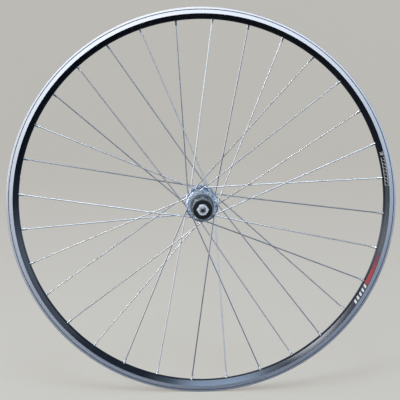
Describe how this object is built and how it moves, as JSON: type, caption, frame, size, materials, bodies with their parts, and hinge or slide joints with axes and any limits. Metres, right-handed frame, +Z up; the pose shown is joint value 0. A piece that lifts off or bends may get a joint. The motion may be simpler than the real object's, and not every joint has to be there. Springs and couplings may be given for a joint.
{
  "type": "bicycle rear wheel",
  "caption": "Rear bicycle wheel for rim brakes: laced spokes, double-wall rim and hub with splined freehub on a hollow quick-release axle.",
  "frame": {"origin": "centre of the wheel, on the axle midway between the locknuts' outer faces", "axes": "+Y along the axle away from the drive side, +Z up, +X right as seen from the drive side"},
  "size_m": [0.6339, 0.141, 0.634],
  "materials": {
    "rim_alloy": "gloss black anodised, with machined silver brake tracks",
    "plain_alloy": "as extruded",
    "spoke_steel": "drawn stainless wire, bright",
    "nipple_brass": "nickel plated",
    "hub_alloy": "polished silver anodised",
    "spacer_alloy": "turned",
    "axle_steel": "rolled thread, zinc plated",
    "cone_steel": "hardened and ground",
    "nut_steel": "nickel plated, serrated face",
    "race_steel": "ground race",
    "cap_steel": "pressed sheet",
    "core_steel": "machined, oiled",
    "bolt_steel": "black oxide",
    "spring_steel": "spring strip",
    "pawl_steel": "hardened",
    "freehub_steel": "satin grey steel with worn splines",
    "ball_steel": "polished",
    "seal_rubber": "matt black moulded rubber"
  },
  "bodies": {
    "axle_set": {"axle": "axle_steel", "drive_cone": "cone_steel", "drive_seal": "seal_rubber", "drive_lock_washer": "axle_steel", "drive_locknut": "nut_steel", "left_cone": "cone_steel", "left_seal": "seal_rubber", "left_lock_washer": "axle_steel", "left_spacer": "spacer_alloy", "left_locknut": "nut_steel"},
    "wheel": {"rim": "rim_alloy", "rim_joint_sleeve": "plain_alloy", "drive_pulling_spokes": "spoke_steel", "drive_static_spokes": "spoke_steel", "left_pulling_spokes": "spoke_steel", "left_static_spokes": "spoke_steel", "drive_nipples": "nipple_brass", "left_nipples": "nipple_brass", "hub_shell": "hub_alloy", "left_bearing_cup": "race_steel", "left_dust_cap": "cap_steel", "freehub_core": "core_steel", "freehub_cup": "race_steel", "freehub_shim": "cap_steel", "freehub_bolt": "bolt_steel", "drive_dust_cap": "cap_steel", "pawl_springs": "spring_steel"},
    "freehub": {"freehub_body": "freehub_steel", "freehub_inner_seal": "seal_rubber"},
    "pawl_1": {"pawl_1": "pawl_steel"},
    "pawl_2": {"pawl_2": "pawl_steel"},
    "drive_balls": {"drive_bearing_balls": "ball_steel"},
    "left_balls": {"left_bearing_balls": "ball_steel"},
    "freehub_outer_row": {"freehub_outer_balls": "ball_steel"},
    "freehub_inner_row": {"freehub_inner_balls": "ball_steel"}
  },
  "joints": [
    {"name": "wheel_spin", "type": "hinge", "parent": "axle_set", "child": "wheel", "pos_m": [0, 0, 0], "axis": [0, 1, 0], "continuous": true},
    {"name": "freehub_spin", "type": "hinge", "parent": "wheel", "child": "freehub", "pos_m": [0, -0.04, 0], "axis": [0, 1, 0], "continuous": true},
    {"name": "drive_balls_spin", "type": "hinge", "parent": "axle_set", "child": "drive_balls", "pos_m": [0, -0.05362, 0], "axis": [0, 1, 0], "continuous": true},
    {"name": "left_balls_spin", "type": "hinge", "parent": "axle_set", "child": "left_balls", "pos_m": [0, 0.0404, 0], "axis": [0, 1, 0], "continuous": true},
    {"name": "freehub_outer_row_spin", "type": "hinge", "parent": "wheel", "child": "freehub_outer_row", "pos_m": [0, -0.04802, 0], "axis": [0, 1, 0], "continuous": true},
    {"name": "freehub_inner_row_spin", "type": "hinge", "parent": "wheel", "child": "freehub_inner_row", "pos_m": [0, -0.031, 0], "axis": [0, 1, 0], "continuous": true},
    {"name": "pawl_1_swing", "type": "hinge", "parent": "wheel", "child": "pawl_1", "pos_m": [0.01075, -0.0395, 0], "axis": [0, 1, 0], "range_deg": [0, 9]},
    {"name": "pawl_2_swing", "type": "hinge", "parent": "wheel", "child": "pawl_2", "pos_m": [-0.01075, -0.0395, 0], "axis": [0, 1, 0], "range_deg": [0, 9]}
  ],
  "couplings": [
    {"joint": "drive_balls_spin", "follows": "wheel_spin", "ratio": 0.6169},
    {"joint": "left_balls_spin", "follows": "wheel_spin", "ratio": 0.6169},
    {"joint": "freehub_outer_row_spin", "follows": "freehub_spin", "ratio": 0.5422},
    {"joint": "freehub_inner_row_spin", "follows": "freehub_spin", "ratio": 0.5422}
  ]
}
